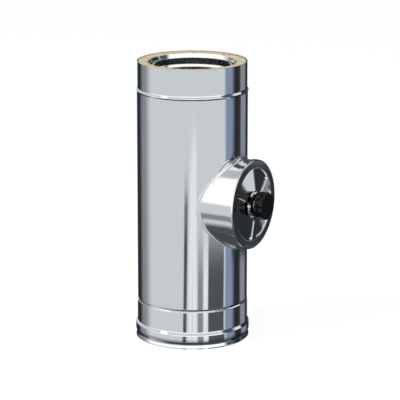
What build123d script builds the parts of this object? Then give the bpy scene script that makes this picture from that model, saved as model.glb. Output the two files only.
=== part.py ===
from build123d import *
import math
import os

# Twin-wall stainless chimney section with an inspection branch. Millimetres.
# The flue axis is Z, with z = 0 at the bottom lip. The branch points along +X.

# Outer casing
height = 510.0
casing_radius = 100.0
casing_sheet = 0.6
spigot_step = 1.0
bead_below_rim = 52.0
bead_upper_height = 4.2
bead_lower_height = 2.8
bead_rise = 1.4

# Bottom end of the casing, from the lip upwards, with its radii as steps from the casing's
lip_flare = 3.3
lip_height = 2.0
waist_flare = 1.8
waist_z = 7.0
lock_rise = 3.8
lock_low_z = 13.0
lock_high_z = 25.0
socket_step = 0.6
socket_low_z = 30.0
stop_depth = 1.1
stop_lower_height = 1.8
stop_upper_height = 3.6
bead_seat_lift = 2.1

# Liner
liner_bore_radius = 75.0
liner_sheet = 0.5
liner_socket_radius = 76.2
liner_mouth_radius = 78.4
liner_recess = 2.0
mouth_depth = 7.0
socket_depth = 12.0
socket_step_height = 5.0
liner_bead_rise = 1.3
liner_bead_half_height = 1.8
joint_gap = 0.5

# Insulation between the walls
wool_recess = 0.6
wool_foot_gap = 1.0

# Branch
branch_z = 259.5
branch_radius = 79.4
branch_sheet = 0.6
branch_bore_radius = 54.0
branch_liner_sheet = 0.5
saddle_lip_height = 5.6
saddle_lip_width = 3.2
saddle_fillet = 4.6
saddle_edge = 0.4
end_ring_sheet = 0.8
end_ring_lip = 6.0

# Spacers
spacer_sheet = 0.8
spacer_lip = 8.0
spacer_hole_share = 0.25
spacer_hole_count = 12
clip_width = 16.0
clip_foot = 14.0
clip_below_rim = 80.0
clip_count = 3
clip_first_angle = 60.0

# Pressed cover of the cap, whose flat ring stands cap_reach out from the casing
cap_reach = 27.2
cap_overhang = 1.6
cap_sheet = 0.8
skirt_depth = 8.5
cap_edge_radius = 2.2
dome_bend = 8.0
hub_foot_bend = 3.0
hub_edge_bend = 1.0
least_bend = 0.4
ring_to_joggle = 1.0
dome_rise = 5.0
hub_foot_radius = 25.0
hub_radius = 22.5
hub_rise = 6.5
pocket_depth = 2.2
pocket_to_ring = 1.6
pocket_inner_radius = 28.0
pocket_corner_radius = 4.0
pocket_draft = 20.0
spoke_width = 16.0
spoke_count = 3
spoke_first_angle = -90.0

# Plug behind the cover
end_gap = 5.4
gasket_thickness = 3.7
gasket_to_joggle = 1.5
gasket_setback = 2.9
pan_sheet = 0.6
pan_clearance = 0.6
pan_depth = 32.0
pan_corner_radius = 3.0
pan_bend = 1.0
joggle_offset = 0.35
sleeve_radius = 9.0
sleeve_sheet = 4.0
seal_thickness = 8.0
seal_inner_radius = 40.0
seal_clearance = 0.3
seal_chamfer = 1.2

# Clamp
plate_sheet = 1.5
plate_radius = 51.5
plate_bend = 2.0
plate_floor_gap = 0.5
stud_radius = 4.0
stud_clearance = 0.6
stud_tail = 2.5
stud_chamfer = 0.8
washer_radius = 8.0
washer_thickness = 1.6
nut_flats = 13.0
nut_height = 6.5

# Knob
knob_radius = 25.0
knob_lobes = 6
lobe_notch = 1.6
lobe_notch_radius = 9.0
lobe_corner_radius = 4.0
knob_head_thickness = 15.0
knob_neck_radius = 12.0
knob_neck_length = 4.8
knob_edge_radius = 2.5
insert_radius = 6.5
insert_length = 14.0
thread_clearance = 0.05
knob_washer_radius = 12.5

# Fits
seat = 0.05
running_gap = 0.3
face_gap = 0.1

# Sizes and places that follow from the values above
spigot_radius = casing_radius - spigot_step
bead_apex_radius = casing_radius + bead_rise
lip_radius = casing_radius + lip_flare
waist_radius = casing_radius + waist_flare
lock_radius = casing_radius + lock_rise
socket_radius = casing_radius + socket_step
stop_radius = casing_radius - stop_depth

# The section below enters until its bead sits in the locking bead, so its rim ends at mated_rim_z.
bead_z = height - bead_below_rim
mated_rim_z = lock_low_z + bead_seat_lift + bead_below_rim
stop_z = mated_rim_z + joint_gap + stop_lower_height
casing_inner_radius = casing_radius - casing_sheet
spigot_inner_radius = spigot_radius - casing_sheet
liner_radius = liner_bore_radius + liner_sheet
liner_top_z = height - liner_recess
liner_socket_high_z = liner_top_z - mouth_depth
liner_socket_low_z = liner_socket_high_z - socket_depth
liner_foot_z = mated_rim_z - (height - liner_socket_low_z) + joint_gap
spacer_z = stop_z + stop_upper_height + wool_foot_gap
wool_foot_z = spacer_z + spacer_sheet
liner_bead_z = spacer_z - liner_bead_half_height
wool_top_z = height - wool_recess
clip_z = height - clip_below_rim
spacer_hole_radius = spacer_hole_share * (casing_inner_radius - liner_radius)
saddle_radius = casing_radius + seat + branch_sheet
branch_inner_radius = branch_radius - branch_sheet
branch_liner_radius = branch_bore_radius + branch_liner_sheet
cap_radius = branch_radius + cap_overhang
face_x = casing_radius + cap_reach
branch_end_x = face_x - end_gap
cap_back_x = face_x - cap_sheet
hub_back_x = face_x + hub_rise - cap_sheet
pan_radius = branch_bore_radius - pan_clearance
pan_joggle_radius = (branch_liner_radius + branch_inner_radius) / 2 + joggle_offset
ring_inner_radius = pan_joggle_radius - ring_to_joggle
pocket_outer_radius = ring_inner_radius - pocket_to_ring
gasket_inner_radius = pan_joggle_radius + gasket_to_joggle
gasket_outer_radius = branch_radius - gasket_setback
pan_flange_radius = gasket_outer_radius
pan_floor_x = face_x - pan_depth
pan_joggle_x = face_x - pocket_depth - cap_sheet - seat
seal_outer_radius = branch_bore_radius - seal_clearance
seal_front_x = pan_floor_x - pan_sheet
seal_back_x = seal_front_x - seal_thickness
plate_rim_x = seal_back_x - running_gap
plate_boss_radius = seal_inner_radius - running_gap
plate_floor_x = seal_front_x - plate_floor_gap
plate_back_x = plate_floor_x - plate_sheet
nut_back_x = plate_back_x - washer_thickness - nut_height
hub_front_x = face_x + hub_rise
knob_back_x = hub_front_x + washer_thickness + face_gap
knob_head_x = knob_back_x + knob_neck_length
insert_end_x = knob_back_x + insert_length
stud_end_x = insert_end_x - face_gap

# Working planes
branch_plane = Plane.YZ
section_plane = Plane(origin=(0, 0, branch_z), x_dir=(1, 0, 0), z_dir=(0, -1, 0))
branch_axis = Axis((0, 0, branch_z), (1, 0, 0))


def bent_sheet(points, radii, sheet):
    """Draw a bent sheet's section: its outside line, and the same line one sheet to its left."""
    FilletPolyline(*points, radius=radii)
    offset(amount=sheet, side=Side.LEFT)


def off_branch_axis(edge):
    """Distance from the branch axis to the middle of an edge."""
    middle = edge @ 0.5
    return math.hypot(middle.Y, middle.Z - branch_z)


def on_saddle(edge):
    """Whether an edge lies on the outside of the welded lip."""
    middle = edge @ 0.5
    return middle.X > 0 and abs(math.hypot(middle.X, middle.Y) - saddle_radius) < seat


def disc_plane(x):
    """Plane across the branch axis at x, facing out of the branch."""
    return Plane(origin=(x, 0, branch_z), x_dir=(0, 1, 0), z_dir=(1, 0, 0))


def sector_sketch(grow):
    """Draw the three pockets between the spokes, each grown outwards by the given amount."""
    Circle(pocket_outer_radius + grow)
    Circle(pocket_inner_radius - grow, mode=Mode.SUBTRACT)
    with PolarLocations(0, spoke_count, start_angle=spoke_first_angle):
        Rectangle(pocket_outer_radius + 2 * grow + pocket_corner_radius, spoke_width - 2 * grow,
                  align=(Align.MIN, Align.CENTER), mode=Mode.SUBTRACT)


def pocket_form(inset):
    """Space of the three pockets, whose floors are domed like the face in front of them."""
    floor = face_x - pocket_depth - inset
    with BuildPart() as form:
        with BuildSketch(disc_plane(floor)) as pockets:
            sector_sketch(inset)
            fillet(pockets.vertices(), pocket_corner_radius + inset)
        extrude(amount=pocket_depth + hub_rise + inset, taper=-pocket_draft)
        with BuildSketch(section_plane):
            with BuildLine():
                Polyline(
                    (floor - cap_sheet, 0),
                    (floor - cap_sheet, ring_inner_radius),
                    (floor, ring_inner_radius),
                    (floor + dome_rise, hub_foot_radius),
                    (floor + dome_rise, 0),
                    close=True,
                )
            make_face()
        revolve(axis=branch_axis, mode=Mode.SUBTRACT)
    return form.part


def cover_form(inset):
    """Full form under the cover's outside, or under its inside when inset by one sheet."""
    edge = max(cap_edge_radius - inset, least_bend)
    front = face_x - inset
    with BuildPart() as form:
        with BuildSketch(section_plane):
            with BuildLine():
                outside = FilletPolyline(
                    (face_x - skirt_depth - inset, cap_radius - inset),
                    (front, cap_radius - inset),
                    (front, ring_inner_radius),
                    (front + dome_rise, hub_foot_radius),
                    (front + hub_rise, hub_radius),
                    (front + hub_rise, 0),
                    radius=[edge, dome_bend, hub_foot_bend, hub_edge_bend],
                )
                Polyline(outside @ 1, (face_x - skirt_depth - inset, 0), outside @ 0)
            make_face()
        revolve(axis=branch_axis)
        add(pocket_form(inset), mode=Mode.SUBTRACT)
    return form.part


# Outer casing, from its flared lip up to the male end
casing_points = [
    (lip_radius, 0),
    (lip_radius, lip_height),
    (waist_radius, waist_z),
    (lock_radius, lock_low_z),
    (lock_radius, lock_high_z),
    (socket_radius, socket_low_z),
    (socket_radius, stop_z - stop_lower_height),
    (stop_radius, stop_z),
    (casing_radius, stop_z + stop_upper_height),
    (casing_radius, bead_z - bead_lower_height),
    (bead_apex_radius, bead_z),
    (spigot_radius, bead_z + bead_upper_height),
    (spigot_radius, height),
]
casing_bends = [1.0, 3.0, 2.5, 2.5, 2.5, 0.9, 0.9, 4.0, 0.8, 1.6, 3.0]

with BuildPart() as outer_casing:
    with BuildSketch(Plane.XZ):
        with BuildLine():
            bent_sheet(casing_points, casing_bends, casing_sheet)
        make_face()
    revolve(axis=Axis.Z)
    with BuildSketch(branch_plane):
        with Locations((0, branch_z)):
            Circle(branch_inner_radius)
    extrude(amount=casing_radius + lip_radius, mode=Mode.SUBTRACT)
outer_casing.part.label = "outer_casing"

# Outer tube of the branch, with the narrow lip that is welded to the casing round the hole
with BuildPart() as branch_casing:
    with BuildSketch(Plane.XY.offset(branch_z - branch_radius - 2 * saddle_lip_height)):
        Circle(saddle_radius)
    extrude(amount=2 * (branch_radius + 2 * saddle_lip_height))
    with BuildSketch(branch_plane):
        with Locations((0, branch_z)):
            Ellipse(branch_radius + saddle_lip_width, branch_radius + saddle_lip_height)
    extrude(amount=2 * casing_radius, mode=Mode.INTERSECT)
    with BuildSketch(branch_plane):
        with Locations((0, branch_z)):
            Circle(branch_radius)
    extrude(amount=branch_end_x)
    saddle_edges = [edge for edge in branch_casing.edges() if on_saddle(edge)]
    chamfer([edge for edge in saddle_edges if off_branch_axis(edge) > branch_radius + seat], saddle_edge)
    saddle_edges = [edge for edge in branch_casing.edges() if on_saddle(edge)]
    fillet([edge for edge in saddle_edges if off_branch_axis(edge) < branch_radius + seat], saddle_fillet)
    with BuildSketch(branch_plane):
        with Locations((0, branch_z)):
            Circle(branch_inner_radius)
    extrude(amount=2 * casing_radius, mode=Mode.SUBTRACT)
    with BuildSketch(Plane.XY):
        Circle(casing_radius + seat)
    extrude(amount=height, mode=Mode.SUBTRACT)
branch_casing.part.label = "branch_casing"

# Liner, with its flared socket at the top, and at the bottom its male end under a bead for the spacer
liner_points = [
    (liner_radius, liner_foot_z),
    (liner_radius, liner_bead_z - liner_bead_half_height),
    (liner_radius + liner_bead_rise, liner_bead_z),
    (liner_radius, liner_bead_z + liner_bead_half_height),
    (liner_radius, liner_socket_low_z - socket_step_height),
    (liner_socket_radius + liner_sheet, liner_socket_low_z),
    (liner_socket_radius + liner_sheet, liner_socket_high_z),
    (liner_mouth_radius + liner_sheet, liner_top_z),
]
liner_bends = [0.8, 1.0, 0.8, 4.0, 4.0, 4.0]

with BuildPart() as flue_liner:
    with BuildSketch(Plane.XZ):
        with BuildLine():
            bent_sheet(liner_points, liner_bends, liner_sheet)
        make_face()
    revolve(axis=Axis.Z)
    with BuildSketch(branch_plane):
        with Locations((0, branch_z)):
            Circle(branch_bore_radius)
    extrude(amount=2 * liner_radius, mode=Mode.SUBTRACT)
flue_liner.part.label = "flue_liner"

# Inner tube of the branch, cut to sit on the liner
with BuildPart() as liner_branch:
    with BuildSketch(branch_plane):
        with Locations((0, branch_z)):
            Circle(branch_liner_radius)
            Circle(branch_bore_radius, mode=Mode.SUBTRACT)
    extrude(amount=branch_end_x)
    with BuildSketch(Plane.XY):
        Circle(liner_radius + seat)
    extrude(amount=height, mode=Mode.SUBTRACT)
liner_branch.part.label = "liner_branch"

# Ring that closes the wool at the end of the branch, with a lip along each tube
with BuildPart() as branch_end_ring:
    with BuildSketch(disc_plane(branch_end_x)):
        Circle(branch_inner_radius - seat)
        Circle(branch_liner_radius + seat, mode=Mode.SUBTRACT)
    extrude(amount=-end_ring_lip)
    with BuildSketch(disc_plane(branch_end_x - end_ring_sheet)):
        Circle(branch_inner_radius - seat - end_ring_sheet)
        Circle(branch_liner_radius + seat + end_ring_sheet, mode=Mode.SUBTRACT)
    extrude(amount=-end_ring_lip, mode=Mode.SUBTRACT)
branch_end_ring.part.label = "branch_end_ring"

# Perforated ring that carries the liner in the casing and holds up the wool
with BuildPart() as lower_spacer_ring:
    with BuildSketch(Plane.XY.offset(spacer_z)):
        Circle(casing_inner_radius - seat)
        Circle(liner_radius + seat, mode=Mode.SUBTRACT)
    extrude(amount=spacer_lip)
    with BuildSketch(Plane.XY.offset(wool_foot_z)):
        Circle(casing_inner_radius - seat - spacer_sheet)
        Circle(liner_radius + seat + spacer_sheet, mode=Mode.SUBTRACT)
    extrude(amount=spacer_lip, mode=Mode.SUBTRACT)
    with BuildSketch(Plane.XY.offset(spacer_z)):
        with PolarLocations((casing_inner_radius + liner_radius) / 2, spacer_hole_count):
            Circle(spacer_hole_radius)
    extrude(amount=spacer_sheet, mode=Mode.SUBTRACT)
lower_spacer_ring.part.label = "lower_spacer_ring"

# Three bent clips that centre the liner near the top, each a strap with two feet
clip_inner_x = liner_radius + seat
clip_outer_x = math.sqrt((casing_inner_radius - seat) ** 2 - (clip_width / 2) ** 2)

with BuildPart() as upper_spacer_clips:
    with BuildSketch(Plane.XZ) as clip_section:
        with Locations((clip_inner_x, clip_z)):
            Rectangle(spacer_sheet, clip_foot, align=(Align.MIN, Align.MAX))
            Rectangle(clip_outer_x - clip_inner_x, spacer_sheet, align=(Align.MIN, Align.MAX))
        with Locations((clip_outer_x, clip_z - spacer_sheet)):
            Rectangle(spacer_sheet, clip_foot, align=(Align.MAX, Align.MIN))
    with PolarLocations(0, clip_count, start_angle=clip_first_angle):
        add(extrude(clip_section.sketch, amount=clip_width / 2, both=True, mode=Mode.PRIVATE))
upper_spacer_clips.part.label = "upper_spacer_clips"

# Mineral wool between liner and casing, slit round the spacers and open at the branch
with BuildPart() as insulation_blanket:
    with BuildSketch(Plane.XZ):
        with BuildLine():
            Polyline(
                (liner_radius + seat, wool_foot_z),
                (casing_inner_radius - seat, wool_foot_z),
                (casing_inner_radius - seat, bead_z - bead_lower_height),
                (spigot_inner_radius - seat, bead_z + bead_upper_height),
                (spigot_inner_radius - seat, wool_top_z),
                (liner_mouth_radius + liner_sheet + running_gap, wool_top_z),
                (liner_mouth_radius + liner_sheet + running_gap, liner_top_z),
                (liner_socket_radius + liner_sheet + running_gap, liner_socket_high_z),
                (liner_socket_radius + liner_sheet + running_gap, liner_socket_low_z),
                (liner_radius + seat, liner_socket_low_z - socket_step_height - running_gap),
                close=True,
            )
        make_face()
    revolve(axis=Axis.Z)
    with BuildSketch(Plane.XY.offset(wool_foot_z)):
        Circle(casing_inner_radius)
        Circle(casing_inner_radius - seat - spacer_sheet, mode=Mode.SUBTRACT)
        Circle(liner_radius + seat + spacer_sheet)
        Circle(liner_bore_radius, mode=Mode.SUBTRACT)
    extrude(amount=spacer_lip - spacer_sheet, mode=Mode.SUBTRACT)
    add(upper_spacer_clips.part, mode=Mode.SUBTRACT)
    with BuildSketch(branch_plane):
        with Locations((0, branch_z)):
            Circle(branch_inner_radius)
    extrude(amount=2 * casing_radius, mode=Mode.SUBTRACT)
insulation_blanket.part.label = "insulation_blanket"

# Wool ring of the branch, from the liner out to the end ring
with BuildPart() as branch_insulation:
    with BuildSketch(branch_plane):
        with Locations((0, branch_z)):
            Circle(branch_inner_radius - seat)
            Circle(branch_liner_radius + seat, mode=Mode.SUBTRACT)
    extrude(amount=branch_end_x - end_ring_sheet)
    with BuildSketch(disc_plane(branch_end_x - end_ring_lip)):
        Circle(branch_inner_radius)
        Circle(branch_inner_radius - seat - end_ring_sheet, mode=Mode.SUBTRACT)
        Circle(branch_liner_radius + seat + end_ring_sheet)
        Circle(branch_bore_radius, mode=Mode.SUBTRACT)
    extrude(amount=end_ring_lip, mode=Mode.SUBTRACT)
    with BuildSketch(Plane.XY):
        Circle(liner_radius + seat)
    extrude(amount=height, mode=Mode.SUBTRACT)
branch_insulation.part.label = "branch_insulation"

# Pressed cover: domed face with three pockets that leave the spokes and the hub standing
outside_form = cover_form(0)
inside_form = cover_form(cap_sheet)

with BuildPart() as cap_cover:
    add(outside_form)
    add(inside_form, mode=Mode.SUBTRACT)
    with BuildSketch(disc_plane(face_x)):
        Circle(stud_radius + stud_clearance)
    extrude(amount=2 * hub_rise, both=True, mode=Mode.SUBTRACT)
cap_cover.part.label = "cap_cover"

# Inner pan of the cap, whose flange is spot-welded behind the cover's flat ring
with BuildPart() as plug_pan:
    with BuildSketch(section_plane):
        with BuildLine():
            bent_sheet(
                [
                    (cap_back_x - pan_sheet, pan_flange_radius),
                    (cap_back_x - pan_sheet, pan_joggle_radius),
                    (pan_joggle_x - pan_sheet, pan_joggle_radius),
                    (pan_joggle_x - pan_sheet, pan_radius),
                    (pan_floor_x - pan_sheet, pan_radius),
                    (pan_floor_x - pan_sheet, stud_radius + stud_clearance),
                ],
                [pan_bend, pan_bend, pan_bend, pan_corner_radius],
                pan_sheet,
            )
        make_face()
    revolve(axis=branch_axis)
plug_pan.part.label = "plug_pan"

# Wool puck in the pan
with BuildPart() as cap_insulation:
    with BuildSketch(disc_plane(pan_floor_x)):
        Circle(pan_radius - pan_sheet - seat)
        Circle(sleeve_radius + seat, mode=Mode.SUBTRACT)
    extrude(amount=pan_joggle_x - pan_floor_x)
    chamfer(cap_insulation.faces().sort_by(Axis.X)[0].edges().sort_by(SortBy.LENGTH)[-1], pan_corner_radius)
cap_insulation.part.label = "cap_insulation"

# Tube that carries the clamping load from the hub to the pan
with BuildPart() as clamp_sleeve:
    with BuildSketch(disc_plane(pan_floor_x)):
        Circle(sleeve_radius)
        Circle(sleeve_radius - sleeve_sheet, mode=Mode.SUBTRACT)
    extrude(amount=hub_back_x - pan_floor_x)
clamp_sleeve.part.label = "clamp_sleeve"

# Flat gasket between the cap and the end of the branch
with BuildPart() as cover_gasket:
    with BuildSketch(disc_plane(cap_back_x - pan_sheet)):
        Circle(gasket_outer_radius)
        Circle(gasket_inner_radius, mode=Mode.SUBTRACT)
    extrude(amount=-gasket_thickness)
cover_gasket.part.label = "cover_gasket"

# Seal that the clamp plate squeezes outwards against the bore of the branch
with BuildPart() as plug_seal:
    with BuildSketch(disc_plane(seal_back_x)):
        Circle(seal_outer_radius)
        Circle(seal_inner_radius, mode=Mode.SUBTRACT)
    extrude(amount=seal_thickness)
    chamfer(plug_seal.edges().filter_by(GeomType.CIRCLE), seal_chamfer)
plug_seal.part.label = "plug_seal"

# Dished clamp plate
with BuildPart() as clamp_plate:
    with BuildSketch(section_plane):
        with BuildLine():
            bent_sheet(
                [
                    (plate_floor_x, stud_radius + seat),
                    (plate_floor_x, plate_boss_radius),
                    (plate_rim_x, plate_boss_radius),
                    (plate_rim_x, plate_radius),
                ],
                [plate_bend, least_bend],
                plate_sheet,
            )
        make_face()
    revolve(axis=branch_axis)
clamp_plate.part.label = "clamp_plate"

# Stud, from behind its nut up into the knob
with BuildPart() as clamp_stud:
    with BuildSketch(disc_plane(nut_back_x - stud_tail)):
        Circle(stud_radius)
    extrude(amount=stud_end_x - nut_back_x + stud_tail)
    chamfer(clamp_stud.edges().filter_by(GeomType.CIRCLE), stud_chamfer)
clamp_stud.part.label = "clamp_stud"

with BuildPart() as clamp_washer:
    with BuildSketch(disc_plane(plate_back_x)):
        Circle(washer_radius)
        Circle(stud_radius + seat, mode=Mode.SUBTRACT)
    extrude(amount=-washer_thickness)
clamp_washer.part.label = "clamp_washer"

with BuildPart() as clamp_nut:
    with BuildSketch(disc_plane(nut_back_x)):
        RegularPolygon(nut_flats / 2, 6, major_radius=False)
        Circle(stud_radius + seat, mode=Mode.SUBTRACT)
    extrude(amount=nut_height)
clamp_nut.part.label = "clamp_nut"

# Knob washer, moulded knob and its threaded insert
with BuildPart() as knob_washer:
    with BuildSketch(disc_plane(hub_front_x)):
        Circle(knob_washer_radius)
        Circle(stud_radius + stud_clearance, mode=Mode.SUBTRACT)
    extrude(amount=washer_thickness)
knob_washer.part.label = "knob_washer"

with BuildPart() as knob:
    with BuildSketch(disc_plane(knob_head_x)) as knob_outline:
        Circle(knob_radius)
        with PolarLocations(knob_radius - lobe_notch + lobe_notch_radius, knob_lobes):
            Circle(lobe_notch_radius, mode=Mode.SUBTRACT)
        fillet(knob_outline.vertices(), lobe_corner_radius)
    extrude(amount=knob_head_thickness)
    fillet(knob.faces().sort_by(Axis.X)[-1].edges(), knob_edge_radius)
    with BuildSketch(disc_plane(knob_head_x)):
        Circle(knob_neck_radius)
    extrude(amount=-knob_neck_length)
    with BuildSketch(disc_plane(knob_back_x)):
        Circle(insert_radius + seat)
    extrude(amount=insert_length, mode=Mode.SUBTRACT)
knob.part.label = "knob"

with BuildPart() as knob_insert:
    with BuildSketch(disc_plane(knob_back_x)):
        Circle(insert_radius)
        Circle(stud_radius + thread_clearance, mode=Mode.SUBTRACT)
    extrude(amount=insert_length)
knob_insert.part.label = "knob_insert"

pieces = [
    outer_casing, branch_casing, flue_liner, liner_branch, branch_end_ring, lower_spacer_ring,
    upper_spacer_clips, insulation_blanket, branch_insulation, cap_cover, plug_pan, cap_insulation,
    clamp_sleeve, cover_gasket, plug_seal, clamp_plate, clamp_stud, clamp_washer, clamp_nut,
    knob_washer, knob, knob_insert,
]

os.makedirs("parts", exist_ok=True)
for piece in pieces:
    export_step(piece.part, f"parts/{piece.part.label}.step")
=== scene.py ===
"""Twin-wall chimney section with an inspection branch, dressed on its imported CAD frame.

Metres, with the flue axis on Z, the bottom lip at z = 0 and the branch along +X.
"""

import logging
import math
import random
from dataclasses import dataclass, field
from enum import Enum

import bpy
from mathutils import Matrix, Vector


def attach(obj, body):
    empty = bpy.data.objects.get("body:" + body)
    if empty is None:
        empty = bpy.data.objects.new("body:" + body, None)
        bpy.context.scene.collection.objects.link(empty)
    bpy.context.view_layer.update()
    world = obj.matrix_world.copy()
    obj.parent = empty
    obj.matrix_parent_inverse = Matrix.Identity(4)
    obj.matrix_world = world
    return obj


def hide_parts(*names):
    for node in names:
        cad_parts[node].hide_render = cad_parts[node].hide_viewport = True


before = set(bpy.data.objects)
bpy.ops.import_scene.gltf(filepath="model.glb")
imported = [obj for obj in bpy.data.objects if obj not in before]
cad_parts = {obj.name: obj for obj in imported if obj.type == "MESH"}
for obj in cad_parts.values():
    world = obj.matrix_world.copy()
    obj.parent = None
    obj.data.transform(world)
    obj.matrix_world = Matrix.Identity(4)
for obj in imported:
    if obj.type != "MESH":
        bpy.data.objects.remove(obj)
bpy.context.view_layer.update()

log = logging.getLogger("inspection_section")

Colour = tuple[float, float, float]
Span = tuple[float, float]

SHEET_REFLECTANCE = 0.80


def linear(red: float, green: float, blue: float) -> Colour:
    """Turn a display colour, each channel 0 to 255, into scene-linear values.

    Args:
        red: Display red.
        green: Display green.
        blue: Display blue.

    Returns:
        The linear colour.
    """
    def channel(value: float) -> float:
        """Undo the display curve of one channel."""
        share = value / 255.0
        return share / 12.92 if share <= 0.04045 else ((share + 0.055) / 1.055) ** 2.4

    return channel(red), channel(green), channel(blue)


# ---------------------------------------------------------------- shader graphs


class Signal:
    """A socket of a node tree, on which arithmetic adds Math nodes."""

    def __init__(self, graph: "Graph", socket: bpy.types.NodeSocket) -> None:
        """Wrap one output socket of the graph."""
        self.graph = graph
        self.socket = socket

    def _math(self, operation: str, other: "Signal | float", turned: bool = False) -> "Signal":
        """Add a Math node on this signal and another value.

        Args:
            operation: Math operation.
            other: Second operand.
            turned: Whether the other value comes first.

        Returns:
            The node's result.
        """
        pair = (other, self) if turned else (self, other)
        return self.graph.add("ShaderNodeMath", {"operation": operation}, *pair)

    def __add__(self, other: "Signal | float") -> "Signal":
        """Sum of the two."""
        return self._math("ADD", other)

    __radd__ = __add__

    def __sub__(self, other: "Signal | float") -> "Signal":
        """This less the other."""
        return self._math("SUBTRACT", other)

    def __rsub__(self, other: "Signal | float") -> "Signal":
        """The other less this."""
        return self._math("SUBTRACT", other, turned=True)

    def __mul__(self, other: "Signal | float") -> "Signal":
        """Product of the two."""
        return self._math("MULTIPLY", other)

    __rmul__ = __mul__

    def __truediv__(self, other: "Signal | float") -> "Signal":
        """This over the other."""
        return self._math("DIVIDE", other)

    def __pow__(self, other: "Signal | float") -> "Signal":
        """This to the power of the other."""
        return self._math("POWER", other)

    def __abs__(self) -> "Signal":
        """Size without sign."""
        return self.graph.add("ShaderNodeMath", {"operation": "ABSOLUTE"}, self)

    def rise(self, low: float, high: float) -> "Signal":
        """Smooth step from 0 at low to 1 at high.

        Args:
            low: Value where the step starts.
            high: Value where it has ended, which may be the smaller one.

        Returns:
            A signal from 0 to 1.
        """
        settings = {"interpolation_type": "SMOOTHSTEP"}
        if low < high:
            return self.graph.add("ShaderNodeMapRange", settings, self, low, high, 0.0, 1.0)
        return self.graph.add("ShaderNodeMapRange", settings, self, high, low, 1.0, 0.0)


class Graph:
    """A node tree that is written as expressions."""

    def __init__(self, tree: bpy.types.NodeTree) -> None:
        """Start from an empty tree."""
        self.tree = tree
        tree.nodes.clear()

    def add(self, kind: str, settings: dict | None = None, *values: object,
            out: str | None = None, **named: object) -> Signal:
        """Add a node, set it up, and connect or set its sockets.

        Args:
            kind: Node type.
            settings: Properties set first; "stops" holds a ramp's positions and colours.
            *values: Values or signals of the enabled sockets, in order.
            out: Name of the output wanted, or none for the first enabled one.
            **named: Values or signals by socket name, with _ for a space.

        Returns:
            The chosen output.
        """
        node = self.tree.nodes.new(kind)
        for key, value in (settings or {}).items():
            if key == "stops":
                self._set_stops(node.color_ramp, value)
            else:
                setattr(node, key, value)
        enabled = [socket for socket in node.inputs if socket.enabled]
        pairs = list(zip(enabled, values))
        for name, value in named.items():
            wanted = name.replace("_", " ")
            pairs.append((next(s for s in enabled if s.name == wanted), value))
        for socket, value in pairs:
            if isinstance(value, Signal):
                self.tree.links.new(value.socket, socket)
            elif value is not None:
                socket.default_value = self._fitted(socket, value)
        outputs = [socket for socket in node.outputs if socket.enabled]
        chosen = outputs[0] if out is None else next(s for s in outputs if s.name == out)
        return Signal(self, chosen)

    @staticmethod
    def _fitted(socket: bpy.types.NodeSocket, value: object) -> object:
        """Give a colour its fourth channel where the socket has one."""
        if socket.type == "RGBA" and len(value) == 3:
            return (*value, 1.0)
        return value

    @staticmethod
    def _set_stops(ramp: bpy.types.ColorRamp, stops: list[tuple[float, Colour]]) -> None:
        """Give a colour ramp its stops."""
        while len(ramp.elements) > 1:
            ramp.elements.remove(ramp.elements[-1])
        ramp.elements[0].position = stops[0][0]
        ramp.elements[0].color = (*stops[0][1], 1.0)
        for position, colour in stops[1:]:
            ramp.elements.new(position).color = (*colour, 1.0)

    def mix(self, factor: "Signal | float", first: object, second: object) -> Signal:
        """Blend two colours.

        Args:
            factor: Share of the second colour.
            first: Colour or signal.
            second: Colour or signal.

        Returns:
            The blended colour.
        """
        return self.add("ShaderNodeMix", {"data_type": "RGBA"}, Factor=factor, A=first, B=second)

    def place(self) -> Signal:
        """Object coordinates."""
        return self.add("ShaderNodeTexCoord", out="Object")

    def stretched(self, where: Signal, scale: tuple[float, float, float]) -> Signal:
        """Scale a place along its axes."""
        return self.add("ShaderNodeMapping", {"vector_type": "POINT"}, Vector=where, Scale=scale)

    def noise(self, where: Signal, scale: float, detail: float = 2.0, roughness: float = 0.5) -> Signal:
        """Noise value, about 0 to 1, at a place."""
        return self.add("ShaderNodeTexNoise", {"noise_dimensions": "3D"}, Vector=where, Scale=scale,
                        Detail=detail, Roughness=roughness)

    def split(self, vector: Signal) -> tuple[Signal, Signal, Signal]:
        """The three parts of a vector."""
        node = self.tree.nodes.new("ShaderNodeSeparateXYZ")
        self.tree.links.new(vector.socket, node.inputs[0])
        return tuple(Signal(self, node.outputs[i]) for i in range(3))

    def bump(self, height: Signal, distance: float, under: "Signal | None" = None) -> Signal:
        """Normal tilted by a height in metres times distance."""
        return self.add("ShaderNodeBump", Strength=1.0, Distance=distance, Height=height, Normal=under)

    def finish(self, shader: Signal, kind: str = "ShaderNodeOutputMaterial") -> None:
        """Connect a shader to the tree's output."""
        output = self.tree.nodes.new(kind)
        self.tree.links.new(shader.socket, output.inputs["Surface"])


# ---------------------------------------------------------------- finishes


class Slot(Enum):
    """Material slots of the part's record."""

    POLISHED = "polished_steel"
    MILL = "bare_steel"
    WOOL = "mineral_wool"
    FIBRE = "fibre_gasket"
    SILICONE = "silicone_seal"
    MOULDING = "black_moulding"
    BRASS = "brass_insert"


class Finish:
    """A material that is made once and shared by its pieces."""

    name: str
    slot: Slot

    def material(self) -> bpy.types.Material:
        """Return the finish's material, made at its first use."""
        found = bpy.data.materials.get(self.name)
        if found is None:
            found = bpy.data.materials.new(self.name)
            found.use_nodes = True
            self.paint(Graph(found.node_tree))
        return found

    def paint(self, graph: Graph) -> None:
        """Build the node tree."""
        raise NotImplementedError


@dataclass(frozen=True)
class Look:
    """Colour, roughness and normal of a finish while it is put together."""

    colour: Signal
    roughness: Signal
    normal: Signal


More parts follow.
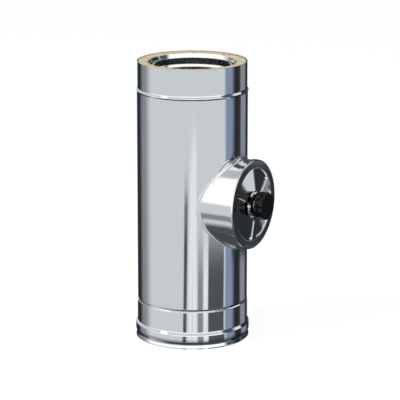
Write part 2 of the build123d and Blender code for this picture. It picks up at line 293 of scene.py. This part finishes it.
@dataclass(frozen=True)
class PolishedSheet(Finish):
    """Mirror-polished stainless sheet, faintly wavy from rolling, with fine rubbing marks."""

    name: str = "polished_sheet"
    slot: Slot = Slot.POLISHED
    tint: Colour = (SHEET_REFLECTANCE, SHEET_REFLECTANCE, 0.805)
    along: tuple[float, float, float] = (60.0, 60.0, 9.0)
    waviness: float = 0.00002
    roughness: float = 0.045

    def extras(self, graph: Graph, where: Signal, look: Look) -> Look:
        """Add what only one sheet has, such as a seam.

        Args:
            graph: Graph of the material.
            where: Place on the piece.
            look: Colour, roughness and normal so far.

        Returns:
            The look with the extras.
        """
        return look

    def paint(self, graph: Graph) -> None:
        """Build the node tree."""
        where = graph.place()
        grain = graph.noise(graph.stretched(where, self.along), 9.0, 3.0, 0.6)
        waves = graph.noise(graph.stretched(where, (9.0, 9.0, 2.2)), 1.0, 1.0, 0.4)
        smears = graph.noise(where, 14.0, 3.0, 0.6).rise(0.45, 0.75)
        colour = graph.mix(grain * 0.6, self.tint, tuple(0.9 * c for c in self.tint))
        roughness = self.roughness + 0.03 * smears + 0.015 * grain
        normal = graph.bump(waves, self.waviness * 10.0)
        look = self.extras(graph, where, Look(colour, roughness, normal))
        graph.finish(graph.add("ShaderNodeBsdfPrincipled", Base_Color=look.colour, Metallic=1.0,
                               Roughness=look.roughness, Normal=look.normal))


@dataclass(frozen=True)
class SeamedSheet(PolishedSheet):
    """Polished sheet rolled to a tube, with its fine lengthwise weld on the side away from the branch."""

    name: str = "seamed_sheet"
    seam_side: float = 150.0
    seam_half_width: float = 0.0011
    # height span of the painted shade band below the locking bead
    groove: Span = (0.0105, 0.0162)

    def band(self, height: Signal, span: Span) -> Signal:
        """Mask of a band round the tube, soft over a millimetre at its edges."""
        return height.rise(span[0] - 0.001, span[0]) * height.rise(span[1] + 0.001, span[1])

    def extras(self, graph: Graph, where: Signal, look: Look) -> Look:
        """Add the lengthwise weld, and painted shade: a speckled dark band in the base colour in the groove
        below the locking bead.
        """
        turned = graph.add("ShaderNodeVectorRotate", {"rotation_type": "Z_AXIS"}, Vector=where,
                           Angle=math.radians(-self.seam_side))
        out, across, up = graph.split(turned)
        seam = abs(across).rise(self.seam_half_width, 0.3 * self.seam_half_width) * out.rise(0.0, 0.01)
        ripple = graph.noise(graph.stretched(where, (40.0, 40.0, 500.0)), 1.0, 1.0)
        speckle = graph.noise(where, 420.0, 3.0)
        # painted shade: the base colour in the groove below the locking bead is darkened towards a near-black
        # grey, standing in for shade and a mirrored dark line
        painted_groove_shade = self.band(up, self.groove) * (0.40 + 0.30 * speckle)
        return Look(graph.mix(painted_groove_shade, look.colour, (0.16, 0.165, 0.175)), look.roughness + 0.22 * seam,
                    graph.bump(seam * (0.7 + 0.3 * ripple), 0.00012, under=look.normal))


@dataclass(frozen=True)
class WeldedSheet(PolishedSheet):
    """Polished sheet whose lip on the casing is brushed where the weld was dressed."""

    name: str = "welded_sheet"
    lip_radius: float = 0.1008

    def extras(self, graph: Graph, where: Signal, look: Look) -> Look:
        """Add the brushed lip."""
        east, north, _ = graph.split(where)
        off_axis = (east ** 2.0 + abs(north) ** 2.0) ** 0.5
        lip = off_axis.rise(self.lip_radius + 0.0006, self.lip_radius)
        scratches = graph.noise(where, 1400.0, 2.0)
        return Look(look.colour, look.roughness + (0.26 + 0.12 * scratches) * lip, look.normal)


@dataclass(frozen=True)
class LinerSheet(PolishedSheet):
    """Liner sheet: bright where its socket was drawn, duller down the flue."""

    name: str = "liner_sheet"
    slot: Slot = Slot.MILL
    roughness: float = 0.09
    socket_foot: float = 0.4718

    def extras(self, graph: Graph, where: Signal, look: Look) -> Look:
        """Dull the sheet below its socket."""
        _, _, up = graph.split(where)
        dull = up.rise(self.socket_foot + 0.0008, self.socket_foot - 0.0008)
        return Look(look.colour, look.roughness + 0.13 * dull, look.normal)


@dataclass(frozen=True)
class MillSheet(Finish):
    """Bright mill-finish stainless sheet with a soft grain along its rolling direction."""

    name: str = "mill_sheet"
    slot: Slot = Slot.MILL
    tint: Colour = (0.74, 0.745, 0.75)
    along: tuple[float, float, float] = (220.0, 220.0, 18.0)
    roughness: float = 0.16

    def paint(self, graph: Graph) -> None:
        """Build the node tree."""
        where = graph.place()
        grain = graph.noise(graph.stretched(where, self.along), 8.0, 4.0, 0.6)
        clouds = graph.noise(where, 18.0, 3.0, 0.5)
        colour = graph.mix(grain, self.tint, tuple(0.82 * c for c in self.tint))
        roughness = self.roughness + 0.10 * grain + 0.06 * clouds
        normal = graph.bump(grain, 0.00002)
        graph.finish(graph.add("ShaderNodeBsdfPrincipled", Base_Color=colour, Metallic=1.0,
                               Roughness=roughness, Normal=normal))


@dataclass(frozen=True)
class MineralWool(Finish):
    """Golden mineral wool: pale fibres over darker binder."""

    name: str = "golden_wool"
    slot: Slot = Slot.WOOL
    pale: Colour = linear(248, 242, 212)
    deep: Colour = linear(190, 162, 106)

    def paint(self, graph: Graph) -> None:
        """Build the node tree."""
        where = graph.place()
        strands = graph.noise(graph.stretched(where, (1.0, 1.0, 0.25)), 900.0, 4.0, 0.7)
        tufts = graph.noise(where, 130.0, 3.0, 0.6)
        share = (strands * 0.6 + tufts * 0.5).rise(0.38, 0.72)
        colour = graph.mix(share, self.deep, self.pale)
        normal = graph.bump(strands + tufts * 2.0, 0.0009)
        graph.finish(graph.add("ShaderNodeBsdfPrincipled", Base_Color=colour, Roughness=0.92, Normal=normal))


@dataclass(frozen=True)
class PressedFibre(Finish):
    """Pressed glass-fibre gasket, off-white with a felted face."""

    name: str = "pressed_fibre"
    slot: Slot = Slot.FIBRE

    def paint(self, graph: Graph) -> None:
        """Build the node tree."""
        felt = graph.noise(graph.place(), 700.0, 4.0, 0.7)
        colour = graph.mix(felt, linear(205, 198, 180), linear(236, 232, 220))
        graph.finish(graph.add("ShaderNodeBsdfPrincipled", Base_Color=colour, Roughness=0.9,
                               Normal=graph.bump(felt, 0.0004)))


@dataclass(frozen=True)
class Silicone(Finish):
    """Brick-red silicone with a dusty bloom."""

    name: str = "silicone_red"
    slot: Slot = Slot.SILICONE

    def paint(self, graph: Graph) -> None:
        """Build the node tree."""
        bloom = graph.noise(graph.place(), 60.0, 4.0, 0.6).rise(0.4, 0.8)
        colour = graph.mix(bloom * 0.35, linear(128, 44, 32), linear(180, 120, 105))
        graph.finish(graph.add("ShaderNodeBsdfPrincipled", Base_Color=colour,
                               Roughness=0.5 + 0.2 * bloom, Normal=graph.bump(bloom, 0.0001)))


@dataclass(frozen=True)
class BlackMoulding(Finish):
    """Black heat-resistant moulding, glossy with faint flow marks."""

    name: str = "glossy_moulding"
    slot: Slot = Slot.MOULDING

    def paint(self, graph: Graph) -> None:
        """Build the node tree."""
        where = graph.place()
        flow = graph.noise(where, 90.0, 3.0, 0.6)
        dust = graph.noise(where, 1500.0, 2.0, 0.6).rise(0.55, 0.8)
        colour = graph.mix(flow, linear(6, 5, 6), linear(13, 11, 12))
        graph.finish(graph.add("ShaderNodeBsdfPrincipled", Base_Color=colour, Specular_IOR_Level=0.3,
                               Roughness=0.10 + 0.05 * flow + 0.06 * dust,
                               Normal=graph.bump(flow, 0.00002)))


@dataclass(frozen=True)
class TurnedBrass(Finish):
    """Turned brass with fine tool marks round its axis."""

    name: str = "turned_brass"
    slot: Slot = Slot.BRASS

    def paint(self, graph: Graph) -> None:
        """Build the node tree."""
        lines = graph.noise(graph.stretched(graph.place(), (900.0, 20.0, 20.0)), 2.0, 3.0, 0.5)
        colour = graph.mix(lines, (0.72, 0.52, 0.22), (0.86, 0.66, 0.32))
        graph.finish(graph.add("ShaderNodeBsdfPrincipled", Base_Color=colour, Metallic=1.0,
                               Roughness=0.18 + 0.15 * lines, Normal=graph.bump(lines, 0.00003)))


@dataclass(frozen=True)
class ZincFastener(Finish):
    """Zinc-plated fastener, dull grey with a patchy bloom."""

    name: str = "zinc_fastener"
    slot: Slot = Slot.MILL

    def paint(self, graph: Graph) -> None:
        """Build the node tree."""
        patches = graph.noise(graph.place(), 160.0, 4.0, 0.6)
        colour = graph.mix(patches, (0.52, 0.53, 0.55), (0.72, 0.73, 0.74))
        graph.finish(graph.add("ShaderNodeBsdfPrincipled", Base_Color=colour, Metallic=1.0,
                               Roughness=0.28 + 0.2 * patches, Normal=graph.bump(patches, 0.00005)))


@dataclass(frozen=True)
class ThreadedZinc(Finish):
    """Zinc-plated stud with its rolled thread round the branch axis."""

    name: str = "threaded_zinc"
    slot: Slot = Slot.MILL
    pitch: float = 0.00125
    axis_height: float = 0.2595

    def paint(self, graph: Graph) -> None:
        """Build the node tree."""
        where = graph.place()
        along, side, up = graph.split(where)
        angle = graph.add("ShaderNodeMath", {"operation": "ARCTAN2"}, side, up - self.axis_height)
        turn = angle / (2.0 * math.pi)
        ridge = graph.add("ShaderNodeMath", {"operation": "PINGPONG"}, along / self.pitch + turn, 0.5) * 2.0
        patches = graph.noise(where, 160.0, 4.0, 0.6)
        # painted shade: the base colour darkens towards the thread's valleys and lightens on its crests
        colour = graph.mix(ridge, (0.34, 0.34, 0.35), (0.70, 0.71, 0.72))
        graph.finish(graph.add("ShaderNodeBsdfPrincipled", Base_Color=colour, Metallic=1.0,
                               Roughness=0.24 + 0.16 * patches, Normal=graph.bump(ridge, 0.0005)))


def dress(node: str, finish: Finish) -> None:
    """Give a CAD node its finish and report it.

    Args:
        node: Name of the CAD node.
        finish: Finish that it gets.
    """
    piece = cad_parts[node]
    material = finish.material()
    if not piece.material_slots:
        piece.data.materials.append(material)
    for slot in piece.material_slots:
        slot.material = material
    log.info("%s dressed in %s", node, finish.name)


# ---------------------------------------------------------------- sub-assemblies


@dataclass
class CasingShell:
    """Outer casing and the outer tube of the branch."""

    def build(self) -> None:
        """Dress the shells."""
        dress("outer_casing", SeamedSheet())
        dress("branch_casing", WeldedSheet())


@dataclass
class FlueLiner:
    """Inner tubes, spacers and the ring that closes the branch's wool."""

    mill: MillSheet = field(default_factory=MillSheet)
    bright: LinerSheet = field(default_factory=LinerSheet)

    def build(self) -> None:
        """Dress the tubes."""
        for node in ("flue_liner", "liner_branch"):
            dress(node, self.bright)
        for node in ("branch_end_ring", "lower_spacer_ring", "upper_spacer_clips"):
            dress(node, self.mill)


def deselect() -> None:
    """Leave edit mode with nothing selected."""
    if bpy.context.object is not None and bpy.context.object.mode != "OBJECT":
        bpy.ops.object.mode_set(mode="OBJECT")
    bpy.ops.object.select_all(action="DESELECT")


def pick(piece: bpy.types.Object) -> None:
    """Select one piece alone and make it active."""
    deselect()
    piece.select_set(True)
    bpy.context.view_layer.objects.active = piece


def apply_modifier(piece: bpy.types.Object, kind: str, **settings: object) -> None:
    """Add a modifier to a piece, set it up and apply it.

    Args:
        piece: Piece that gets it.
        kind: Modifier type.
        **settings: Its properties.
    """
    pick(piece)
    modifier = piece.modifiers.new(kind.lower(), kind)
    for key, value in settings.items():
        setattr(modifier, key, value)
    bpy.ops.object.modifier_apply(modifier=modifier.name)


@dataclass
class WoolPacking:
    """Mineral wool of section, branch and cap, soft and lumpy, with loose fibres on its cut face."""

    wool: MineralWool = field(default_factory=MineralWool)
    cell: float = 0.0027
    hidden_cell: float = 0.004
    lump_size: float = 0.011
    lump_depth: float = 0.0011
    inner_radius: float = 0.0797
    outer_radius: float = 0.0979
    face_height: float = 0.5088
    fibre_count: int = 620
    fibre_radius: float = 0.00016
    fibre_joints: int = 5
    fibre_step: float = 0.0013
    fibre_bow: float = 0.00022
    fibre_taper: float = 0.82
    fibre_sizes: Span = (0.6, 1.2)
    fibre_tilts: Span = (66.0, 86.0)
    seed: int = 11

    def mat(self, node: str, name: str, body: str, cell: float) -> bpy.types.Object:
        """Make a soft mat in the space of a wool solid.

        Args:
            node: CAD node that the mat replaces.
            name: Name of the mat.
            body: Body that it rides on.
            cell: Size of its faces.

        Returns:
            The mat.
        """
        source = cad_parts[node]
        mat = bpy.data.objects.new(name, source.data.copy())
        bpy.context.scene.collection.objects.link(mat)
        pick(mat)
        bpy.ops.object.mode_set(mode="EDIT")
        bpy.ops.mesh.select_all(action="SELECT")
        bpy.ops.mesh.remove_doubles(threshold=0.000002)
        bpy.ops.mesh.normals_make_consistent(inside=False)
        bpy.ops.object.mode_set(mode="OBJECT")
        apply_modifier(mat, "REMESH", mode="VOXEL", voxel_size=cell)
        lumps = bpy.data.textures.new(name + "_lumps", "CLOUDS")
        lumps.noise_scale = self.lump_size
        lumps.noise_depth = 2
        apply_modifier(mat, "DISPLACE", texture=lumps, texture_coords="LOCAL", mid_level=0.0,
                       strength=-self.lump_depth)
        pick(mat)
        bpy.ops.object.shade_smooth()
        mat.data.materials.clear()
        mat.data.materials.append(self.wool.material())
        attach(mat, body)
        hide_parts(node)
        log.info("%s stands for %s", name, node)
        return mat

    def strand(self) -> bpy.types.Object:
        """Model one loose fibre: a thin stalk, extruded in a bow and drawn to a point."""
        deselect()
        bpy.ops.mesh.primitive_circle_add(vertices=4, radius=self.fibre_radius, fill_type="NGON")
        strand = bpy.context.object
        bpy.ops.object.mode_set(mode="EDIT")
        bpy.ops.mesh.select_all(action="SELECT")
        for step in range(self.fibre_joints):
            lean = self.fibre_bow * step
            bpy.ops.mesh.extrude_region_move(TRANSFORM_OT_translate={"value": (lean, 0.0, self.fibre_step)})
            bpy.ops.transform.resize(value=(self.fibre_taper, self.fibre_taper, 1.0))
        bpy.ops.mesh.select_all(action="SELECT")
        bpy.ops.mesh.normals_make_consistent(inside=False)
        bpy.ops.object.mode_set(mode="OBJECT")
        bpy.ops.object.shade_smooth()
        return strand

    def fibres(self) -> None:
        """Scatter loose fibres over the cut face at the top."""
        chance = random.Random(self.seed)
        strand = self.strand()
        length = self.fibre_joints * self.fibre_step
        copies = []
        while len(copies) < self.fibre_count:
            angle = chance.uniform(0.0, 2.0 * math.pi)
            radius = chance.uniform(self.inner_radius, self.outer_radius)
            foot = Vector((radius * math.cos(angle), radius * math.sin(angle), self.face_height))
            size = chance.uniform(*self.fibre_sizes)
            tilt = math.radians(chance.uniform(*self.fibre_tilts))
            turn = Matrix.Rotation(chance.uniform(0.0, 2.0 * math.pi), 4, "Z") @ Matrix.Rotation(tilt, 4, "Y")
            tip = foot + turn @ Vector((0.0, 0.0, size * length))
            if not self.inner_radius < math.hypot(tip.x, tip.y) < self.outer_radius:
                continue
            mesh = strand.data.copy()
            mesh.transform(Matrix.Translation(foot) @ turn @ Matrix.Scale(size, 4))
            copy = bpy.data.objects.new("wool_fibre", mesh)
            bpy.context.scene.collection.objects.link(copy)
            copies.append(copy)
        deselect()
        bpy.data.objects.remove(strand)
        for copy in copies:
            copy.select_set(True)
        bpy.context.view_layer.objects.active = copies[0]
        bpy.ops.object.join()
        tuft = bpy.context.object
        tuft.name = "wool_fibres"
        tuft.data.materials.append(self.wool.material())
        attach(tuft, "section")
        log.info("wool_fibres: %d fibres", len(copies))

    def build(self) -> None:
        """Make the mats and the loose fibres."""
        self.mat("insulation_blanket", "blanket_wool", "section", self.cell)
        self.mat("branch_insulation", "branch_wool", "section", self.hidden_cell)
        self.mat("cap_insulation", "cap_wool", "cover", self.hidden_cell)
        self.fibres()


@dataclass
class InspectionCap:
    """Pressed cover with its pan, gasket and seal."""

    polished: PolishedSheet = field(default_factory=PolishedSheet)
    mill: MillSheet = field(default_factory=MillSheet)

    def build(self) -> None:
        """Dress the cap's pieces."""
        dress("cap_cover", self.polished)
        for node in ("plug_pan", "clamp_sleeve"):
            dress(node, self.mill)
        dress("cover_gasket", PressedFibre())
        dress("plug_seal", Silicone())


@dataclass
class ClampSet:
    """Plate, stud, washers and nut."""

    def build(self) -> None:
        """Dress the clamp's pieces."""
        dress("clamp_plate", MillSheet())
        dress("clamp_stud", ThreadedZinc())
        for node in ("clamp_washer", "clamp_nut", "knob_washer"):
            dress(node, ZincFastener())


@dataclass
class ClosingKnob:
    """Lobed knob with its threaded insert."""

    def build(self) -> None:
        """Dress the knob."""
        dress("knob", BlackMoulding())
        dress("knob_insert", TurnedBrass())


# ---------------------------------------------------------------- studio


class Board(Enum):
    """Plain surfaces that stand round the part, by the display colour that polished sheet shows of them."""

    SOFTBOX = (260, 260, 260)
    STRIP_LIGHT = (225, 230, 235)
    PALE_WALL = (200, 205, 210)
    GREY_CARD = (130, 135, 140)
    BLUE_BOARD = (125, 140, 165)
    DARK_CARD = (75, 80, 85)
    CHARCOAL = (40, 45, 50)

    def light(self) -> Colour:
        """Brightness of the surface, of which the sheet gives back its own share."""
        return tuple(channel / SHEET_REFLECTANCE for channel in linear(*self.value))


@dataclass(frozen=True)
class Panel:
    """One stretch of a row of surfaces.

    A row runs round the flue axis, in degrees from the camera's side and positive towards the branch, or
    upwards, in degrees above the horizon.
    """

    start: float
    end: float
    board: Board


@dataclass(frozen=True)
class Prop:
    """A flag, card or strip light that stands before the wall.

    Left and right are its edges at the top, in degrees round the flue axis. Lean is how many degrees it
    moves away from the branch on each degree downwards.
    """

    left: float
    right: float
    bottom: float
    top: float
    board: Board
    lean: float = 0.0
    softness: float = 1.0

    def mask(self, degrees: Signal, height: Signal) -> Signal:
        """Where the prop hides what stands behind it.

        Args:
            degrees: Angle round the flue axis.
            height: Angle above the horizon.

        Returns:
            A signal from 0 to 1.
        """
        soft = self.softness
        across = degrees + (self.top - height) * self.lean
        sides = across.rise(self.left, self.left + soft) * across.rise(self.right, self.right - soft)
        return sides * height.rise(self.bottom, self.bottom + soft) * height.rise(self.top, self.top - soft)


@dataclass(frozen=True)
class Lamp:
    """A square soft lamp: where it hangs, its edge length and its power in watts."""

    name: str
    place: tuple[float, float, float]
    size: float
    power: float


@dataclass
class Studio:
    """Camera, lamps, floor and the plain surroundings that the polished sheet mirrors.

    Each Span is a soft edge in degrees, from where it starts to where it has ended.
    """

    camera_side: float = -60.0
    distance: float = 3.88
    camera_height_angle: float = 14.1
    lens: float = 192.0
    aim_right: float = 0.0139
    aim_up: float = -0.0031
    target: Vector = field(default_factory=lambda: Vector((0.0, 0.0, 0.255)))
    wall: list[Panel] = field(default_factory=lambda: [
        Panel(-180, -140, Board.CHARCOAL),
        Panel(-125, -115, Board.GREY_CARD),
        Panel(-95, 70, Board.PALE_WALL),
        Panel(75, 90, Board.BLUE_BOARD),
        Panel(100, 115, Board.CHARCOAL),
        Panel(120, 140, Board.GREY_CARD),
        Panel(150, 180, Board.CHARCOAL),
    ])
    props: list[Prop] = field(default_factory=lambda: [
        Prop(-16, -8, -25, -13.5, Board.DARK_CARD, lean=1.0),
        Prop(-4, 4, -30, -12.5, Board.STRIP_LIGHT, lean=1.0),
        Prop(0, 9, -30, -12, Board.STRIP_LIGHT),
        Prop(10, 23, -30, -14.5, Board.GREY_CARD, softness=2.0),
        Prop(22, 33, -30, -14.5, Board.STRIP_LIGHT, softness=2.0),
        Prop(32, 70, -30, -14, Board.DARK_CARD, softness=2.0),
        Prop(110, 120, -10, 0, Board.PALE_WALL),
    ])
    sky: list[Panel] = field(default_factory=lambda: [
        Panel(-180, -120, Board.GREY_CARD),
        Panel(-90, 65, Board.SOFTBOX),
        Panel(75, 95, Board.DARK_CARD),
        Panel(105, 125, Board.STRIP_LIGHT),
        Panel(130, 180, Board.DARK_CARD),
    ])
    ground: list[Panel] = field(default_factory=lambda: [
        Panel(-180, 95, Board.DARK_CARD),
        Panel(105, 120, Board.PALE_WALL),
        Panel(130, 180, Board.DARK_CARD),
    ])
    beside_branch: list[Panel] = field(default_factory=lambda: [
        Panel(-65, -50, Board.DARK_CARD),
        Panel(-40, -37, Board.PALE_WALL),
        Panel(-32, -24, Board.GREY_CARD),
        Panel(-19, -15, Board.PALE_WALL),
    ])
    lamps: list[Lamp] = field(default_factory=lambda: [
        Lamp("key_lamp", (-1.6, -2.6, 2.8), 1.6, 60.0),
        Lamp("fill_lamp", (2.8, -1.4, 2.0), 1.6, 25.0),
    ])
    wall_foot: Span = (-30.0, -34.0)
    ground_edge: Span = (-41.0, -45.0)
    horizon: Span = (0.0, 5.5)
    horizon_beside: Span = (-9.0, -3.0)
    beside_left: Span = (-125.0, -112.0)
    beside_right: Span = (-26.0, -32.0)
    beside_top: Span = (-18.0, -19.0)
    slope_foot: Span = (42.5, 44.0)
    slope_top: Span = (55.0, 53.5)
    slope_right: Span = (68.0, 64.0)
    slope_gap_left: Span = (-78.0, -76.0)
    slope_gap_right: Span = (-60.0, -62.0)
    slope_droop: float = 0.002
    ceiling: Span = (57.5, 60.5)
    flag_side: float = 122.0
    flag_height: float = -14.0
    flag_radius: float = 33.0
    flag_edge: Span = (1.1, 0.85)
    casing_above: tuple[Span, Span] = ((-13.2, -12.9), (-9.5, -10.3))
    casing_below: tuple[Span, Span] = ((-15.4, -15.8), (-19.5, -18.6))
    ambient: Colour = (0.62, 0.63, 0.65)
    floor_size: float = 30.0
    floor_speckle: float = 40.0
    floor_low: Colour = (0.80, 0.80, 0.80)
    floor_high: Colour = (0.84, 0.84, 0.84)
    floor_faint: Colour = (0.22, 0.22, 0.22)
    floor_glow: float = 0.84

    @staticmethod
    def row(graph: Graph, where: Signal, span: float, panels: list[Panel]) -> Signal:
        """Colour of a row of panels, which blends across the gaps between them.

        Args:
            graph: World graph.
            where: Angle along the row, 0 in its middle.
            span: Angle from end to end.
            panels: Panels in order.

        Returns:
            The colour.
        """
        stops = [(edge / span + 0.5, panel.board.light())
                 for panel in panels for edge in (panel.start, panel.end)]
        return graph.add("ShaderNodeValToRGB", {"stops": stops}, where / span + 0.5)

    @staticmethod
    def between(angle: Signal, entry: Span, leaving: Span) -> Signal:
        """Mask between two soft edges."""
        return angle.rise(*entry) * angle.rise(*leaving)

    def cap_flag(self, degrees: Signal, height: Signal) -> Signal:
        """Mask of the round dark flag before the cap, cut back where the casing would show it.

        Args:
            degrees: Angle round the flue axis.
            height: Angle above the horizon.

        Returns:
            A signal from 0 to 1.
        """
        across = (degrees - self.flag_side) / self.flag_radius
        upwards = (height - self.flag_height) / self.flag_radius
        above = self.between(height, *self.casing_above)
        below = self.between(height, *self.casing_below)
        return (across ** 2.0 + upwards ** 2.0).rise(*self.flag_edge) * (1.0 - (above + below))

    def surround(self) -> None:
        """Build the world: white for the camera, soft light, and plain surfaces for what is mirrored."""
        world = bpy.data.worlds.new("studio")
        bpy.context.scene.world = world
        world.use_nodes = True
        graph = Graph(world.node_tree)
        direction = graph.add("ShaderNodeTexCoord", out="Generated")
        turned = graph.add("ShaderNodeVectorRotate", {"rotation_type": "Z_AXIS"}, Vector=direction,
                           Angle=math.radians(-self.camera_side))
        east, north, up = graph.split(turned)
        round_angle = graph.add("ShaderNodeMath", {"operation": "ARCTAN2"}, north, east)
        degrees = round_angle * (180.0 / math.pi)
        height = graph.add("ShaderNodeMath", {"operation": "ARCSINE"}, up) * (180.0 / math.pi)

        colour = self.row(graph, degrees, 360.0, self.wall)
        colour = graph.mix(height.rise(*self.wall_foot), colour, Board.DARK_CARD.light())
        ground = self.row(graph, degrees, 360.0, self.ground)
        colour = graph.mix(height.rise(*self.ground_edge), colour, ground)
        beside = self.between(degrees, self.beside_left, self.beside_right)
        levels = self.row(graph, height, 180.0, self.beside_branch)
        colour = graph.mix(beside * height.rise(*self.beside_top), colour, levels)
        horizon = graph.mix(beside, height.rise(*self.horizon_beside), height.rise(*self.horizon))
        colour = graph.mix(horizon, colour, self.row(graph, degrees, 360.0, self.sky))
        slant = height + degrees ** 2.0 * self.slope_droop
        gap = self.between(degrees, self.slope_gap_left, self.slope_gap_right)
        slopes = self.between(slant, self.slope_foot, self.slope_top) * degrees.rise(*self.slope_right)
        colour = graph.mix(slopes * (1.0 - gap), colour, Board.PALE_WALL.light())
        colour = graph.mix(height.rise(*self.ceiling), colour, Board.PALE_WALL.light())
        colour = graph.mix(self.cap_flag(degrees, height), colour, Board.CHARCOAL.light())
        for prop in self.props:
            colour = graph.mix(prop.mask(degrees, height), colour, prop.board.light())

        path = graph.tree.nodes.new("ShaderNodeLightPath")
        mirrored = Signal(graph, path.outputs["Is Glossy Ray"])
        seen = Signal(graph, path.outputs["Is Camera Ray"])
        colour = graph.mix(mirrored, self.ambient, colour)
        colour = graph.mix(seen, colour, (1.0, 1.0, 1.0))
        graph.finish(graph.add("ShaderNodeBackground", Color=colour, Strength=1.0), "ShaderNodeOutputWorld")

    def floor(self) -> None:
        """Lay the pale floor that shows white and keeps a faint shadow."""
        bpy.ops.mesh.primitive_plane_add(size=self.floor_size, location=(0.0, 0.0, 0.0))
        ground = bpy.context.object
        ground.name = "studio_floor"
        ground.visible_glossy = False
        material = bpy.data.materials.new("pale_floor")
        material.use_nodes = True
        graph = Graph(material.node_tree)
        path = graph.tree.nodes.new("ShaderNodeLightPath")
        seen = Signal(graph, path.outputs["Is Camera Ray"])
        speckle = graph.noise(graph.place(), self.floor_speckle)
        matte = graph.add("ShaderNodeBsdfDiffuse", Color=graph.mix(speckle, self.floor_low, self.floor_high))
        faint = graph.add("ShaderNodeBsdfDiffuse", Color=self.floor_faint)
        glow = graph.add("ShaderNodeEmission", Color=(1.0, 1.0, 1.0), Strength=self.floor_glow)
        shown = graph.add("ShaderNodeAddShader", {}, faint, glow)
        graph.finish(graph.add("ShaderNodeMixShader", {}, seen, matte, shown))
        ground.data.materials.append(material)

    def hang(self, lamp: Lamp) -> None:
        """Hang a lamp so that it points at the part."""
        data = bpy.data.lights.new(lamp.name, "AREA")
        data.shape = "SQUARE"
        data.size = lamp.size
        data.energy = lamp.power
        holder = bpy.data.objects.new(lamp.name, data)
        holder.location = Vector(lamp.place)
        holder.rotation_euler = (self.target - Vector(lamp.place)).to_track_quat("-Z", "Y").to_euler()
        holder.visible_glossy = False
        bpy.context.scene.collection.objects.link(holder)

    def camera(self) -> None:
        """Set the camera at the photograph's viewing angle."""
        side = math.radians(self.camera_side)
        rise = math.radians(self.camera_height_angle)
        away = Vector((math.cos(side) * math.cos(rise), math.sin(side) * math.cos(rise), math.sin(rise)))
        data = bpy.data.cameras.new("camera")
        data.lens = self.lens
        data.sensor_width = 36.0
        data.clip_end = 50.0
        holder = bpy.data.objects.new("camera", data)
        right = Vector((-math.sin(side), math.cos(side), 0.0))
        up = away.cross(right)
        place = self.target + away * self.distance
        aim = self.target + right * self.aim_right + up * self.aim_up
        holder.location = place
        holder.rotation_euler = (aim - place).to_track_quat("-Z", "Y").to_euler()
        bpy.context.scene.collection.objects.link(holder)
        bpy.context.scene.camera = holder

    def build(self) -> None:
        """Set up the whole studio."""
        self.surround()
        self.floor()
        for lamp in self.lamps:
            self.hang(lamp)
        self.camera()
        bpy.context.scene.view_settings.view_transform = "Standard"
        log.info("studio built")


def main() -> None:
    """Build every sub-assembly, then the studio."""
    logging.basicConfig(level=logging.INFO, format="%(name)s: %(message)s")
    for part in (CasingShell(), FlueLiner(), WoolPacking(), InspectionCap(), ClampSet(), ClosingKnob()):
        part.build()
    Studio().build()


if __name__ == "__main__":
    main()
